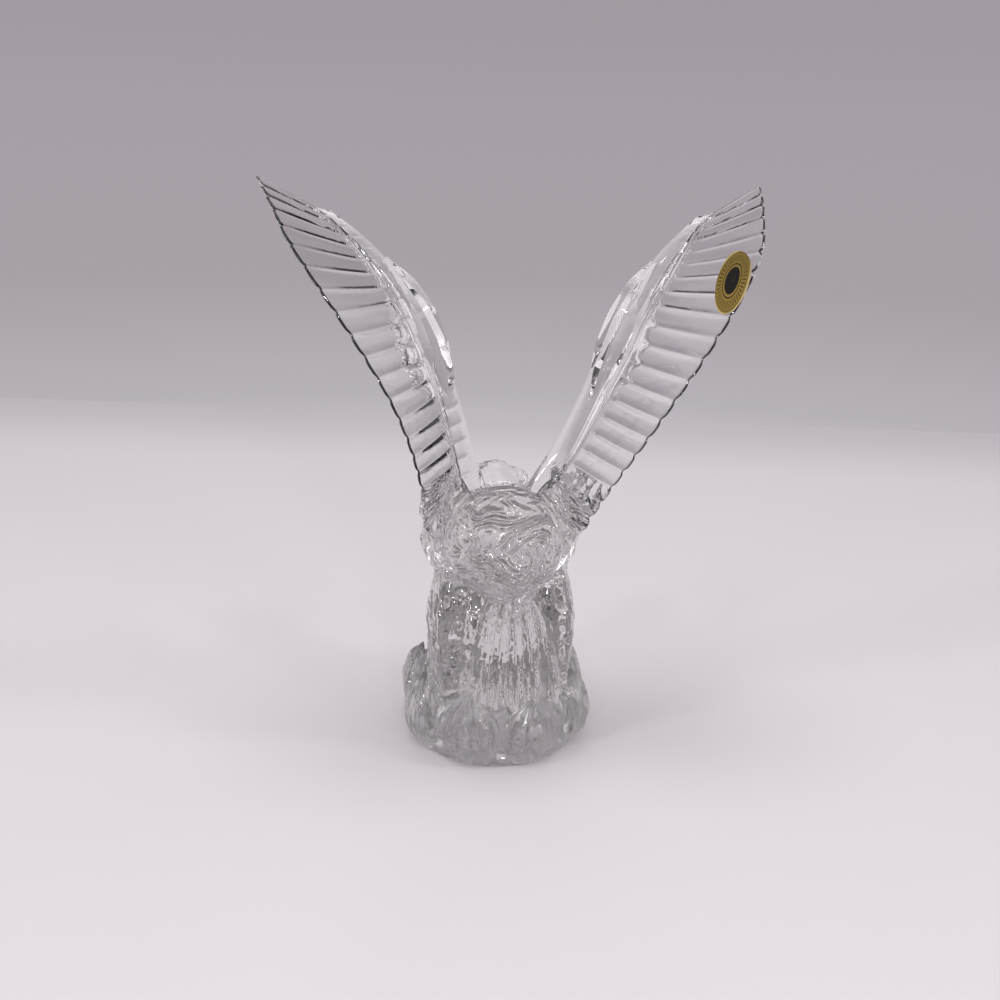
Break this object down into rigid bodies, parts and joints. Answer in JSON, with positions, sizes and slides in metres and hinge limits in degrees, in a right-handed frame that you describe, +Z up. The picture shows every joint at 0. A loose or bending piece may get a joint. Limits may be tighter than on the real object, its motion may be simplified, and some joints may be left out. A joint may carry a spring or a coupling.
{
  "type": "crystal eagle figurine",
  "caption": "Clear cast crystal eagle with raised, ribbed wings, leaning forward with its head turned, on a leafy rock; a small gold foil seal on one wing.",
  "frame": {"origin": "centre of the mound's flat underside, on the table", "axes": "+Z up, +Y towards the eagle's chest and head, +X to the eagle's right"},
  "size_m": [0.1416, 0.0935, 0.1798],
  "materials": {
    "crystal": "polished",
    "gold_foil": "satin"
  },
  "bodies": {
    "root": {"crystal_eagle": "crystal", "foil_seal": "gold_foil"}
  },
  "joints": []
}
